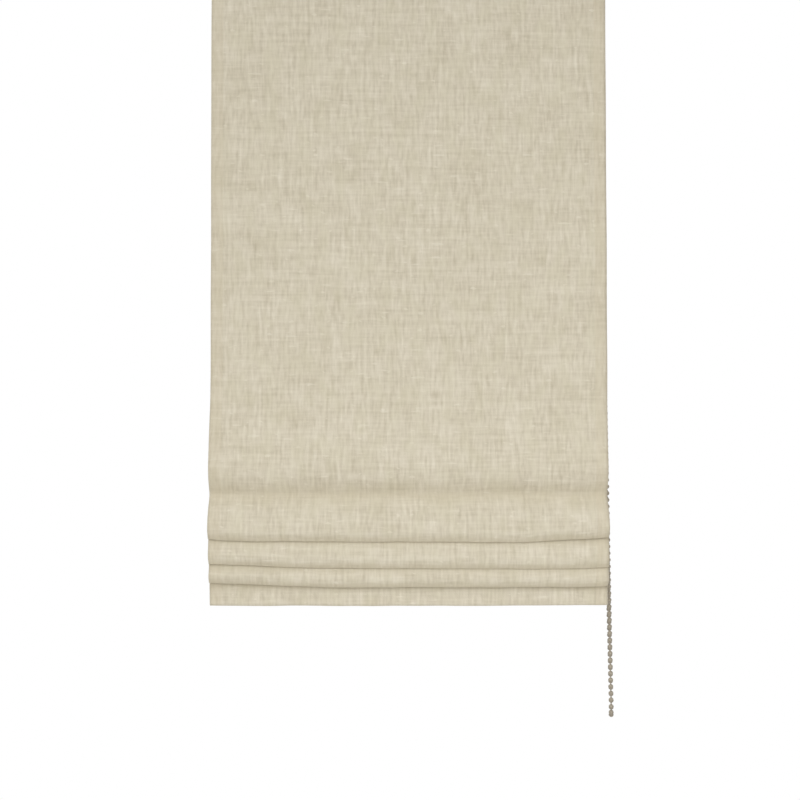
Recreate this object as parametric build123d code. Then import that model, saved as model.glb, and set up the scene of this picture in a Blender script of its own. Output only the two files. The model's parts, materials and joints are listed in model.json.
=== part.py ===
from build123d import *
import math
import os

os.makedirs("parts", exist_ok=True)

# Roman blind that hangs under a ceiling: front towards -Y, control chain at the right end (+X).
# The origin lies on the ceiling plane, midway between the two bracket holes.
# Lengths are in millimetres, angles in degrees.

# Clearances and cuts
run_gap = 0.3  # between a turning piece and its seat
slip_gap = 0.15  # between pieces that slide together and then stay
overrun = 1.0  # how far a cutter reaches past what it cuts

# Cloth
cloth_width = 350
cloth_thickness = 0.8
cloth_start = 4  # cloth's top edge below the ceiling
top_panel = 252  # top edge to the highest rod
pleat = 82  # rod to rod along the flat cloth
flat_rods = 3  # rods above the valley rod
folds = 3  # pleats gathered under the valley rod
stack_pitch = 18  # rod to rod in the gathered stack
valley_forward = 11.3  # valley rod's cloth in front of the cloth at the headrail
bow_forward = 7.5  # cloth above the valley stands proud of it
bow_height = 18  # from the valley rod up to that bow
valley_bend = 6  # bend radius of the cloth in the valley
valley_sink = 1.7  # the two slopes of the valley would meet this far behind its cloth
front_fold_drop = 40  # valley rod down to the lower edge of each fold
middle_fold_drop = 64
rear_fold_drop = 80.5
hem_panel = 43.5  # lowest rod down to the hem's lower edge
layer_pitch = 1.3  # cloth layer to cloth layer in the stack
layer_lean = 0.5  # rearmost fold in front of the rod's fold
front_roll = 2.6  # front fold's two layers stand this far apart
rod_fold = 2  # width of the fold at a gathered rod
front_shoulder = 16  # valley rod down to where the front fold hangs straight
shoulder_drop = 13  # the same on the folds behind
return_drop = 12  # gathered rod down to where its fold's rear layer hangs straight
largest_bend = 70  # largest bend radius of the cloth elsewhere
bend_share = 0.45  # share of the shorter run that a bend takes up

# Rods, their tapes and cord rings
rod_diameter = 4
rod_inset = 5  # rod's end inside the cloth's edge
tape_inset = 6
tape_wall = 0.45
fin_length = 2.6
fin_thickness = 0.8
cord_inset = 65  # cord inside the cloth's edge
ring_bore = 6.2
ring_wall = 1.5
ring_height = 2
ring_sides = 12  # flats round a moulded ring, its clip, a sleeve and a cord stop
clip_wall = 0.9
clip_length = 6
clip_mouth = 2.4  # slot in the clip that the fin passes through
ring_neck = 0.6  # from the clip to the ring's bore
seam_gap = 0.1  # between the cloth's back and the fin sewn to it

# Bottom bar
bar_height = 22
bar_thickness = 3
bar_inset = 7  # bar's end inside the cloth's edge
bar_cap_length = 2.5
bar_cap_corner = 1.2
hem_lap = 6  # turned-up cloth above the pocket

# Headrail extrusion
rail_depth = 36
rail_height = 26.5
rail_wall = 1.4
rail_corner = 0.8
rail_lip = 5.6  # inward lips along the open underside
slot_mouth = 12  # bracket slot in the top
slot_width = 19
slot_lip = 1.2
slot_depth = 2.6

# Tapes at the cloth's top
grip_tape_height = 20
grip_tape_thickness = 1
grip_tape_start = 5  # below the ceiling

# Ceiling brackets
bracket_inset = 55  # hole inside the cloth's edge
bracket_plate = 1.5
bracket_length = 44
bracket_depth = 30
bracket_corner = 3
bracket_hole = 4.4
hook_width = 10
hook_sheet = 1.2
hook_offset = 13  # hook's middle from the hole
hook_reach = 4

# Drive shaft, spools and cradles
shaft_flats = 6  # across the hexagon's flats
drum_radius = 5.6
drum_length = 16
spool_flange = 1.2
spool_flange_radius = 7.9
journal_radius = 4.6
journal_end = 0.6  # journal stands past its cheek
cheek_thickness = 1.8
cheek_width = 22
cheek_top = 4  # above the shaft's axis
cradle_base = 1.5
cradle_play = 0.4
cradle_window = 17
cradle_rib = 1

# Lift cords
cord_diameter = 1.4
wound_length = 9.8
stop_diameter = 7
stop_foot = 4.8
stop_height = 8

# Left end cap and bush
cap_flange = 2.5
cap_plug = 12
cap_corner = 2
cap_chamfer = 0.8
bush_radius = 4.8
bush_length = 9

# Control unit
control_flange = 3
control_plug = 22
control_corner = 3
cover_chamfer = 1
bearing_land = 3
hub_radius = 5.4
hub_socket = 14
wheel_width = 8
wheel_play = 0.5
wheel_pockets = 10
thread_groove = 1.8
pivot_radius = 3
pivot_length = 1.2
cover_wall = 1.6
chain_slot = 6.4
spring_wire = 0.8
spring_pitch = 1.6
spring_turns = 3
spring_facets = 18  # straight stretches in each turn

# Bead chain
bead_pitch = 6
bead_diameter = 4.5
bead_length = 4.2
bead_sides = 6
bead_taper = 27
thread_diameter = 1.2
strand_pitches = 113  # bead pitches in each straight strand
chain_lean = 15.5  # loop's lower end hangs this far outside the wheel's plane
chain_twist = 1.9  # its rear strand hangs this much further out, its front strand less
joiner_place = 48  # bead pitches below the wheel
joiner_wall = 0.7
joiner_length = 11

# Places that follow from the sizes
half_cloth = cloth_width / 2
rail_top = -bracket_plate
rail_bottom = rail_top - rail_height
cavity_top = rail_top - slot_lip - slot_depth - rail_wall
cavity_bottom = rail_bottom + rail_wall
axis_z = (cavity_top + cavity_bottom) / 2
grip_top = -grip_tape_start
grip_bottom = grip_top - grip_tape_height
rail_front = -rail_depth / 2
hook_tape_front = rail_front - grip_tape_thickness
loop_tape_front = hook_tape_front - grip_tape_thickness
cloth_y = loop_tape_front - cloth_thickness / 2
valley_y = cloth_y - valley_forward

rod_count = flat_rods + 1 + folds
valley_z = -cloth_start - top_panel - pleat * flat_rods
rod_heights = [-cloth_start - top_panel - pleat * i for i in range(flat_rods + 1)]
rod_heights += [valley_z - stack_pitch * (i + 1) for i in range(folds)]
hem_bottom = rod_heights[-1] - hem_panel

rod_radius = rod_diameter / 2
sleeve_bore = rod_radius + slip_gap
sleeve_radius = sleeve_bore + tape_wall
sleeve_offset = fin_length + sleeve_radius  # cloth's back to the rod's axis
clip_bore = sleeve_radius + slip_gap
clip_radius = clip_bore + clip_wall
ring_radius = ring_bore / 2 + ring_wall
eye_offset = sleeve_offset + clip_radius + ring_neck + ring_bore / 2  # rod's seat to the ring's centre
ring_offset = seam_gap + eye_offset  # cloth's back to the ring's centre

cord_radius = cord_diameter / 2
wound_bore = drum_radius + run_gap
wound_radius = wound_bore + cord_diameter
cord_reach = wound_bore + cord_radius  # shaft's axis to the cord that leaves the drum
cord_places = (-half_cloth + cord_inset, half_cloth - cord_inset)
stack_cord_y = valley_y + cloth_thickness / 2 + ring_offset
stop_top = rod_heights[-1] - ring_height / 2 - run_gap

bar_low = hem_bottom + cloth_thickness / 2 + bar_thickness / 2
bar_front = valley_y + cloth_thickness / 2 + run_gap

pitch_radius = bead_pitch / 2 / math.sin(math.pi / wheel_pockets)
bead_radius = bead_diameter / 2
chain_x = half_cloth - cover_wall - wheel_play - wheel_width / 2
wheel_left = chain_x - wheel_width / 2
wheel_right = chain_x + wheel_width / 2
flange_right = wheel_left - wheel_play
rail_right = flange_right - control_flange
rail_left = -half_cloth + cap_flange
plug_left = rail_right - control_plug
control_height = 2 * (rail_top - axis_z)
cover_right = wheel_right + wheel_play + cover_wall
hub_bore = hub_radius + run_gap
spring_inner = hub_radius + run_gap
spring_outer = spring_inner + spring_wire
spring_chamber = spring_outer + run_gap
hub_left = plug_left + slip_gap
shaft_left = rail_left - slip_gap
shaft_right = hub_left + hub_socket
strand_drop = math.sqrt((strand_pitches * bead_pitch) ** 2 - chain_lean**2)
chain_bottom = axis_z - strand_drop


def slab(y_low, y_high, z_low, z_high):
    return Pos((y_low + y_high) / 2, (z_low + z_high) / 2) * Rectangle(y_high - y_low, z_high - z_low)


def disc(radius, y=0, z=axis_z):
    return Pos(y, z) * Circle(radius)


def flats_round(radius, y, z):
    return Pos(y, z) * RegularPolygon(radius, ring_sides, major_radius=False)


def hexagon(flats):
    return Pos(0, axis_z) * RegularPolygon(flats / 2, 6, major_radius=False)


def along_x(section, start, end):
    return Pos(start, 0, 0) * extrude(Plane.YZ * section, end - start)


def block(x_low, x_high, y_low, y_high, z_low, z_high):
    return along_x(slab(y_low, y_high, z_low, z_high), x_low, x_high)


# A run of straight stretches whose corners are bent to the given radii, as far as the stretches allow.
def soft_path(points, bends):
    places = [Vector(*point) for point in points]
    radii = []
    for before, corner, after, bend in zip(places, places[1:], places[2:], bends):
        shorter = min((corner - before).length, (after - corner).length)
        turn = math.radians((corner - before).get_angle(after - corner))
        radii.append(min(bend, bend_share * shorter / math.tan(turn / 2)))
    return FilletPolyline(*points, radius=radii)


# Headrail

def make_headrail():
    section = Pos(0, (rail_top + rail_bottom) / 2) * RectangleRounded(rail_depth, rail_height, rail_corner)
    inner = -rail_front - rail_wall
    section -= slab(-inner, inner, cavity_bottom, cavity_top)
    opening = inner - rail_lip
    section -= slab(-opening, opening, rail_bottom - overrun, cavity_bottom)
    slot_roof = rail_top - slot_lip
    section -= slab(-slot_width / 2, slot_width / 2, slot_roof - slot_depth, slot_roof)
    section -= slab(-slot_mouth / 2, slot_mouth / 2, slot_roof, rail_top + overrun)
    return along_x(section, rail_left, rail_right)


# Ceiling bracket: a folded plate whose two hooks spread under the lips of the rail's slot
def make_bracket(x):
    plate = Pos(x, 0, rail_top) * extrude(
        RectangleRounded(bracket_length, bracket_depth, bracket_corner), bracket_plate
    )
    leg_out = slot_mouth / 2 - run_gap
    foot_top = rail_top - slot_lip - run_gap
    for side in (-1, 1):
        middle = x + side * hook_offset
        near, far = middle - hook_width / 2, middle + hook_width / 2
        leg = sorted((side * leg_out, side * (leg_out - hook_sheet)))
        foot = sorted((side * (leg_out - hook_sheet), side * (leg_out - hook_sheet + hook_reach)))
        plate += block(near, far, leg[0], leg[1], foot_top - hook_sheet, rail_top)
        plate += block(near, far, foot[0], foot[1], foot_top - hook_sheet, foot_top)
    hole = Pos(x, 0, rail_top) * Cylinder(
        bracket_hole / 2, bracket_plate * 3, align=(Align.CENTER, Align.CENTER, Align.CENTER)
    )
    return plate - hole


def make_end_cap():
    outline = Pos(0, (rail_top + rail_bottom) / 2) * RectangleRounded(rail_depth, rail_height, cap_corner)
    inner = -rail_front - rail_wall - slip_gap
    plug = slab(-inner, inner, cavity_bottom + slip_gap, cavity_top - slip_gap)
    cap = along_x(outline, rail_left - cap_flange, rail_left)
    cap = chamfer(cap.faces().sort_by(Axis.X)[0].edges(), cap_chamfer)
    cap += along_x(plug, rail_left, rail_left + cap_plug)
    seat = bush_radius + run_gap
    return cap - along_x(disc(seat), rail_left - slip_gap, rail_left + cap_plug + overrun)


def make_shaft_bush():
    start = rail_left + run_gap
    return along_x(disc(bush_radius) - hexagon(shaft_flats + 2 * slip_gap), start, start + bush_length)


# Control unit

def make_control_housing():
    outline = Pos(0, axis_z) * RectangleRounded(rail_depth, control_height, control_corner)
    inner = -rail_front - rail_wall - slip_gap
    plug = slab(-inner, inner, cavity_bottom + slip_gap, cavity_top - slip_gap)
    housing = along_x(outline, rail_right, flange_right) + along_x(plug, plug_left, rail_right)
    housing -= along_x(disc(hub_bore), plug_left - overrun, flange_right + overrun)
    chamber_left = plug_left + bearing_land
    return housing - along_x(disc(spring_chamber), chamber_left, rail_right)


def make_control_cover():
    outline = Pos(0, axis_z) * RectangleRounded(rail_depth, control_height, control_corner)
    half_inside = rail_depth / 2 - cover_wall
    half_tall = control_height / 2 - cover_wall
    inside = slab(-half_inside, half_inside, axis_z - half_tall, axis_z + half_tall)
    cover = along_x(outline, flange_right, cover_right)
    cover = chamfer(cover.faces().sort_by(Axis.X)[-1].edges(), cover_chamfer)
    cover -= along_x(inside, flange_right - overrun, cover_right - cover_wall)
    floor = axis_z - control_height / 2
    for side in (-1, 1):
        strand = side * pitch_radius
        cover -= block(
            chain_x - chain_slot / 2,
            chain_x + chain_slot / 2,
            strand - chain_slot / 2,
            strand + chain_slot / 2,
            floor - overrun,
            floor + cover_wall + overrun,
        )
    seat = pivot_radius + run_gap
    return cover - along_x(disc(seat), cover_right - cover_wall - overrun, cover_right + overrun)


# Faceted bead, or with a gap round it the pocket that it sits in
def make_bead(gap=0):
    outline = RegularPolygon(bead_radius + gap, bead_sides)
    half_bead = extrude(outline, bead_length / 2 + gap, taper=bead_taper)
    return (half_bead + mirror(half_bead, Plane.XY)).solid()


# Chain wheel: a rim with bead pockets, a hub that carries the shaft and a pivot in the cover
def make_chain_wheel():
    wheel = along_x(disc(pitch_radius), wheel_left, wheel_right)
    wheel += along_x(disc(hub_radius), hub_left, wheel_left)
    wheel += along_x(disc(pivot_radius), wheel_right, wheel_right + wheel_play + pivot_length)
    floor = pitch_radius - thread_diameter / 2 - run_gap
    groove = disc(pitch_radius + overrun) - disc(floor)
    wheel -= along_x(groove, chain_x - thread_groove / 2, chain_x + thread_groove / 2)
    for bead in range(wheel_pockets):
        turn = 360 * bead / wheel_pockets
        wheel -= Pos(chain_x, 0, axis_z) * Rot(turn, 0, 0) * Pos(0, pitch_radius, 0) * make_bead(run_gap)
    return wheel - along_x(hexagon(shaft_flats + 2 * slip_gap), hub_left - overrun, shaft_right + slip_gap)


def make_brake_spring():
    start = plug_left + bearing_land + spring_wire
    radius = (spring_inner + spring_wire / 2) / math.cos(math.pi / spring_facets)
    places = []
    for step in range(spring_turns * spring_facets + 1):
        turn = 2 * math.pi * step / spring_facets
        x = start + spring_pitch * step / spring_facets
        places.append((x, radius * math.cos(turn), axis_z + radius * math.sin(turn)))
    coil = Polyline(*places)
    wire = Plane(coil @ 0, x_dir=(1, 0, 0), z_dir=coil % 0) * Rectangle(spring_wire, spring_wire)
    return sweep(wire, path=coil, transition=Transition.RIGHT)


def make_drive_shaft():
    return along_x(hexagon(shaft_flats), shaft_left, shaft_right)


# Spools and cradles

def make_spool(x):
    half_drum = drum_length / 2
    half_spool = half_drum + spool_flange
    half_journal = half_spool + cradle_play + cheek_thickness + journal_end
    spool = along_x(disc(drum_radius), x - half_drum, x + half_drum)
    for side in (-1, 1):
        near, far = sorted((x + side * half_drum, x + side * half_spool))
        spool += along_x(disc(spool_flange_radius), near, far)
        near, far = sorted((x + side * half_spool, x + side * half_journal))
        spool += along_x(disc(journal_radius), near, far)
    bore = hexagon(shaft_flats + 2 * slip_gap)
    return spool - along_x(bore, x - half_journal - overrun, x + half_journal + overrun)


def make_cradle(x):
    cheek_inside = drum_length / 2 + spool_flange + cradle_play
    cheek_outside = cheek_inside + cheek_thickness
    half_base = -rail_front - rail_wall - slip_gap
    base_top = cavity_bottom + cradle_base
    cradle = block(x - cheek_outside, x + cheek_outside, -half_base, half_base, cavity_bottom, base_top)
    window = Pos(x, 0) * Rectangle(cradle_window, cradle_window)
    cradle -= Pos(0, 0, cavity_bottom - overrun) * extrude(window, cradle_base + 2 * overrun)
    rib_out = half_base - rail_lip - slip_gap
    seat = journal_radius + run_gap
    cheek = slab(-cheek_width / 2, cheek_width / 2, base_top, axis_z + cheek_top)
    cheek -= disc(seat) + slab(-seat, seat, axis_z, axis_z + cheek_top + overrun)
    for side in (-1, 1):
        rib = sorted((side * rib_out, side * (rib_out - cradle_rib)))
        cradle += block(x - cheek_outside, x + cheek_outside, rib[0], rib[1], rail_bottom, cavity_bottom)
        near, far = sorted((x + side * cheek_inside, x + side * cheek_outside))
        cradle += along_x(cheek, near, far)
    return cradle


# Lift cord: the turns wound on the drum, then straight through the rings to the stop
def make_lift_cord(x):
    turns = disc(wound_radius) - disc(wound_bore)
    wound = along_x(turns, x - wound_length / 2, x + wound_length / 2)
    points = [(-cord_reach, axis_z), (stack_cord_y, valley_z), (stack_cord_y, stop_top)]
    route = Plane.YZ * soft_path(points, [largest_bend])
    section = Plane(route @ 0, z_dir=route % 0) * Circle(cord_radius)
    return Pos(x, 0, 0) * sweep(section, path=route) + wound


def make_cord_stop(x):
    taper = math.degrees(math.atan2((stop_diameter - stop_foot) / 2, stop_height))
    head = RegularPolygon(stop_diameter / 2, ring_sides, major_radius=False)
    return Pos(x, stack_cord_y, stop_top) * extrude(head, stop_height, dir=(0, 0, -1), taper=taper)


# Cloth

# Cloth's middle at a rod on the flat part, on the straight line from the tape to the lowest flat rod.
def flat_cloth_y(z):
    cord_share = (axis_z - rod_heights[flat_rods - 1]) / (axis_z - valley_z)
    cord_y = -cord_reach + (stack_cord_y + cord_reach) * cord_share
    last_y = cord_y - ring_offset - cloth_thickness / 2
    return cloth_y + (last_y - cloth_y) * (grip_bottom - z) / (grip_bottom - rod_heights[flat_rods - 1])


def cloth_points():
    last_flat = rod_heights[flat_rods - 1]
    points = [(cloth_y, -cloth_start), (cloth_y, grip_bottom), (flat_cloth_y(last_flat), last_flat)]
    points += [(valley_y - bow_forward, valley_z + bow_height), (valley_y + valley_sink, valley_z)]
    drops = (front_fold_drop, middle_fold_drop, rear_fold_drop)
    for fold in range(folds):
        start_z, end_z = rod_heights[flat_rods + fold], rod_heights[flat_rods + fold + 1]
        behind = folds - 1 - fold
        rear = valley_y - rod_fold - layer_lean - 2 * layer_pitch * behind
        front = rear - (layer_pitch if fold else front_roll)
        bottom = valley_z - drops[fold]
        points.append((front, start_z - (shoulder_drop if fold else front_shoulder)))
        points += [(front, bottom), (rear, bottom), (rear, end_z - return_drop)]
        points += [(valley_y - rod_fold, end_z), (valley_y, end_z)]
    pocket = bar_thickness + 2 * run_gap + cloth_thickness
    pocket_top = hem_bottom + bar_height + 2 * pocket
    points += [(valley_y, hem_bottom), (valley_y + pocket, hem_bottom), (valley_y + pocket, pocket_top)]
    points.append((valley_y + cloth_thickness + slip_gap, pocket_top + hem_lap))
    return points


cloth_bends = [valley_bend if z == valley_z else largest_bend for y, z in cloth_points()[1:-1]]
cloth_path = soft_path(cloth_points(), cloth_bends)
cloth_section = make_face(cloth_path.offset_2d(cloth_thickness / 2, side=Side.BOTH).edges())
print("cloth length along its folds", round(cloth_path.length, 1))


def make_cloth():
    return along_x(cloth_section, -half_cloth, half_cloth)


def make_hook_tape():
    return block(rail_left, rail_right, hook_tape_front, rail_front, grip_bottom, grip_top)


def make_loop_tape():
    section = slab(loop_tape_front, hook_tape_front, grip_bottom, grip_top)
    return along_x(section, -half_cloth + rod_inset, half_cloth - rod_inset)


# Where a rod's tape starts: just behind the rearmost cloth within the fin's height
def find_rod_seat(rod):
    z = rod_heights[rod]
    middle = flat_cloth_y(z) if rod < flat_rods else valley_y
    reach = rod_fold + cloth_thickness
    band = slab(middle - reach, middle + reach, z - fin_thickness / 2, z + fin_thickness / 2)
    return (cloth_section & band).bounding_box().max.X + seam_gap


rod_seats = [find_rod_seat(rod) for rod in range(rod_count)]


def make_rod(rod):
    section = disc(rod_radius, rod_seats[rod] + sleeve_offset, rod_heights[rod])
    return along_x(section, -half_cloth + rod_inset, half_cloth - rod_inset)


def make_rod_tape(rod):
    seat, z = rod_seats[rod], rod_heights[rod]
    section = flats_round(sleeve_radius, seat + sleeve_offset, z)
    section += slab(seat, seat + sleeve_offset, z - fin_thickness / 2, z + fin_thickness / 2)
    section -= flats_round(sleeve_bore, seat + sleeve_offset, z)
    return along_x(section, -half_cloth + tape_inset, half_cloth - tape_inset)


# Pair of cord rings: each clips round the tape's sleeve and holds its eye level behind it
def make_cord_rings(rod):
    seat, z = rod_seats[rod], rod_heights[rod]
    sleeve_y = seat + sleeve_offset
    clip = flats_round(clip_radius, sleeve_y, z)
    grip = flats_round(clip_bore, sleeve_y, z)
    grip += slab(seat, sleeve_y, z - clip_mouth / 2, z + clip_mouth / 2)
    rings = []
    for x in cord_places:
        near, far = x - clip_length / 2, x + clip_length / 2
        eye_y = seat + eye_offset
        ring = Pos(0, 0, z) * extrude(flats_round(ring_radius, x, eye_y), ring_height / 2, both=True)
        ring += along_x(clip, near, far)
        ring -= Pos(0, 0, z) * extrude(flats_round(ring_bore / 2, x, eye_y), clip_radius, both=True)
        rings.append(ring - along_x(grip, near - ring_radius, far + ring_radius))
    return rings


# Bottom bar in the hem pocket
def make_bottom_bar():
    section = slab(bar_front, bar_front + bar_thickness, bar_low, bar_low + bar_height)
    return along_x(section, -half_cloth + bar_inset, half_cloth - bar_inset)


def make_bar_cap(side):
    middle = bar_low + bar_height / 2
    outline = RectangleRounded(bar_thickness, bar_height, bar_cap_corner)
    outline = Pos(bar_front + bar_thickness / 2, middle) * outline
    near, far = sorted((side * (half_cloth - bar_inset), side * (half_cloth - bar_inset + bar_cap_length)))
    return along_x(outline, near, far)


# Bead chain: a loop round the wheel and down, with one faceted bead at every pitch.
# Its strands lean out, so that the loop's lower end hangs beside the cloth.
def strand_point(side, share):
    lean = chain_lean + side * chain_twist
    return (chain_x + lean * share, side * pitch_radius, axis_z - strand_drop * share)


def bead_places():
    places = []
    for bead in range(strand_pitches + 1):
        places += [(strand_point(side, bead / strand_pitches), 0) for side in (-1, 1)]
    for bead in range(1, wheel_pockets // 2):
        turn = 360 * bead / wheel_pockets
        across, up = math.cos(math.radians(turn)), math.sin(math.radians(turn))
        places.append(((chain_x, pitch_radius * across, axis_z + pitch_radius * up), turn))
        low_x = chain_x + chain_lean + chain_twist * across
        places.append(((low_x, pitch_radius * across, chain_bottom - pitch_radius * up), -turn))
    return places


def make_bead_chain():
    bead = make_bead()
    beads = [bead.moved(Location(place, (turn, 0, 0))) for place, turn in bead_places()]
    front_top, front_low = strand_point(-1, 0), strand_point(-1, 1)
    rear_top, rear_low = strand_point(1, 0), strand_point(1, 1)
    wheel_top = (chain_x, 0, axis_z + pitch_radius)
    loop_low = (chain_x + chain_lean, 0, chain_bottom - pitch_radius)
    runs = [Line(front_top, front_low), ThreePointArc(front_low, loop_low, rear_low)]
    runs += [Line(rear_low, rear_top), ThreePointArc(rear_top, wheel_top, front_top)]
    thread = []
    for run in runs:
        start = Plane(run @ 0, x_dir=(1, 0, 0), z_dir=run % 0)
        thread += sweep(start * RegularPolygon(thread_diameter / 2, bead_sides), path=run).solids()
    return beads + thread


def make_chain_joiner():
    bore = bead_radius + slip_gap
    sleeve = Cylinder(bore + joiner_wall, joiner_length) - Cylinder(bore, joiner_length + overrun)
    return Pos(strand_point(1, (joiner_place + 1 / 2) / strand_pitches)) * sleeve


def write(name, shape):
    solids = shape if isinstance(shape, list) else shape.solids()
    whole = solids[0] if len(solids) == 1 else Compound(solids)
    export_step(whole, f"parts/{name}.step")


left, right = cord_places
write("headrail", make_headrail())
write("bracket_left", make_bracket(-half_cloth + bracket_inset))
write("bracket_right", make_bracket(half_cloth - bracket_inset))
write("end_cap", make_end_cap())
write("shaft_bush", make_shaft_bush())
write("control_housing", make_control_housing())
write("control_cover", make_control_cover())
write("chain_wheel", make_chain_wheel())
write("brake_spring", make_brake_spring())
write("drive_shaft", make_drive_shaft())
write("spool_left", make_spool(left))
write("spool_right", make_spool(right))
write("cradle_left", make_cradle(left))
write("cradle_right", make_cradle(right))
write("lift_cord_left", make_lift_cord(left))
write("lift_cord_right", make_lift_cord(right))
write("cord_stop_left", make_cord_stop(left))
write("cord_stop_right", make_cord_stop(right))
write("hook_tape", make_hook_tape())
write("loop_tape", make_loop_tape())
write("face_cloth", make_cloth())
for rod in range(rod_count):
    write(f"rod_{rod + 1}", make_rod(rod))
    write(f"rod_tape_{rod + 1}", make_rod_tape(rod))
    write(f"cord_rings_{rod + 1}", make_cord_rings(rod))
write("bottom_bar", make_bottom_bar())
write("bar_cap_left", make_bar_cap(-1))
write("bar_cap_right", make_bar_cap(1))
write("bead_chain", make_bead_chain())
write("chain_joiner", make_chain_joiner())
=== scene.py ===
import json
import math

import bmesh
import bpy
from mathutils import Matrix, Vector, noise


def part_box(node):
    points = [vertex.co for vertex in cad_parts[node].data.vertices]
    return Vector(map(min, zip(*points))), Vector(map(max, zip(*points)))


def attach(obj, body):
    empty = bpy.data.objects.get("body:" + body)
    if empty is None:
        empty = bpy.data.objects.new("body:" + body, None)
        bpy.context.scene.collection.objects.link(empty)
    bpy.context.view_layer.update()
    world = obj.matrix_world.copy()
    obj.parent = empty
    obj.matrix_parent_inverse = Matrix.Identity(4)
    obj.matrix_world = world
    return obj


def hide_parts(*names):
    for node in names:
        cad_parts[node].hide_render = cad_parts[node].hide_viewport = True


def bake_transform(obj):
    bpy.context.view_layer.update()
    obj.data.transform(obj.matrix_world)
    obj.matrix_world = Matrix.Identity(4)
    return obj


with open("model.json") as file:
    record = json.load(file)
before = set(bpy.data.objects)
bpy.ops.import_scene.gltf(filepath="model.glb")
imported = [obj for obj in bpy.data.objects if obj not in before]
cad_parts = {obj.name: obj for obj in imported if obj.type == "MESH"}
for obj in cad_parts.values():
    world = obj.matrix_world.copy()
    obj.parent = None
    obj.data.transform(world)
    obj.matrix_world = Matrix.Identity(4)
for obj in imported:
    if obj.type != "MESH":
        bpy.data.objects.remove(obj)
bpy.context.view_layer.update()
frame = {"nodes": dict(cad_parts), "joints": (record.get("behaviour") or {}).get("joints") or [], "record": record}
print("frame loaded,", len(frame["nodes"]), "nodes")

rodCount = 7
valleyRod = 4  # this rod lies in the valley, and the ones after it in the gathered folds
foldCount = rodCount - valleyRod
bodyRows = frame["record"]["behaviour"]["bodies"]
bodyOf = {node: body for body, nodes in bodyRows.items() for node in nodes}


# Shader maths

class Wire:
    def __init__(self, tree, socket=None):
        self.tree = tree
        self.socket = socket

    def node(self, kind, settings=None, links=None, out=0):
        made = self.tree.nodes.new(kind)
        for key, value in (settings or {}).items():
            if key == "stops":  # a ramp's places and colours
                stops = made.color_ramp.elements
                while len(stops) < len(value):
                    stops.new(1)
                for stop, (place, colour) in zip(stops, value):
                    stop.position = place
                    stop.color = colour
            else:
                setattr(made, key, value)
        for key, value in (links or {}).items():
            if isinstance(value, Wire):
                self.tree.links.new(value.socket, made.inputs[key])
            else:
                made.inputs[key].default_value = value
        return Wire(self.tree, made.outputs[out] if made.outputs else None)

    def maths(self, operation, first, second=0.0):
        return self.node("ShaderNodeMath", {"operation": operation}, {0: first, 1: second})

    def __add__(self, other):
        return self.maths("ADD", self, other)

    def __sub__(self, other):
        return self.maths("SUBTRACT", self, other)

    def __rsub__(self, other):
        return self.maths("SUBTRACT", other, self)

    def __mul__(self, other):
        return self.maths("MULTIPLY", self, other)

    __radd__ = __add__
    __rmul__ = __mul__


def startFinish(name):
    material = bpy.data.materials.new(name)
    material.use_nodes = True
    material.node_tree.nodes.clear()
    return material, Wire(material.node_tree)


def closeFinish(wire, colour, roughness, bump, fixed=None):
    links = {"Base Color": colour, "Roughness": roughness, "Normal": bump, **(fixed or {})}
    shader = wire.node("ShaderNodeBsdfPrincipled", {}, links)
    wire.node("ShaderNodeOutputMaterial", {}, {"Surface": shader})


def objectPlace(wire):
    return wire.node("ShaderNodeTexCoord", {}, {}, out=3)


def grain(wire, place, scale, detail=2.0):
    spread = wire.node("ShaderNodeMapping", {}, {"Vector": place, "Scale": scale})
    return wire.node("ShaderNodeTexNoise", {}, {"Vector": spread, "Scale": 1.0, "Detail": detail})


def swing(pattern, share):  # a pattern about its middle value
    return share * (pattern - 0.5)


def weigh(patterns, shares):  # a sum of named patterns, each times its share
    first, *others = [share * patterns[name] for name, share in shares.items()]
    return sum(others, first)


def mixColours(wire, factor, first, second):
    return wire.node("ShaderNodeMix", {"data_type": "RGBA"}, {0: factor, 6: first, 7: second}, out=2)


def ramp(wire, value, stops):
    return wire.node("ShaderNodeValToRGB", {"stops": stops}, {"Fac": value})


def step(wire, value, low, high):
    return wire.node("ShaderNodeMapRange", {"interpolation_type": "SMOOTHSTEP"},
                     {"Value": value, "From Min": low, "From Max": high})


def bumpFrom(wire, height, look):
    return wire.node("ShaderNodeBump", {},
                     {"Height": height, "Strength": look["bump"], "Distance": look["bumpDepth"]})


# Finishes

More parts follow.
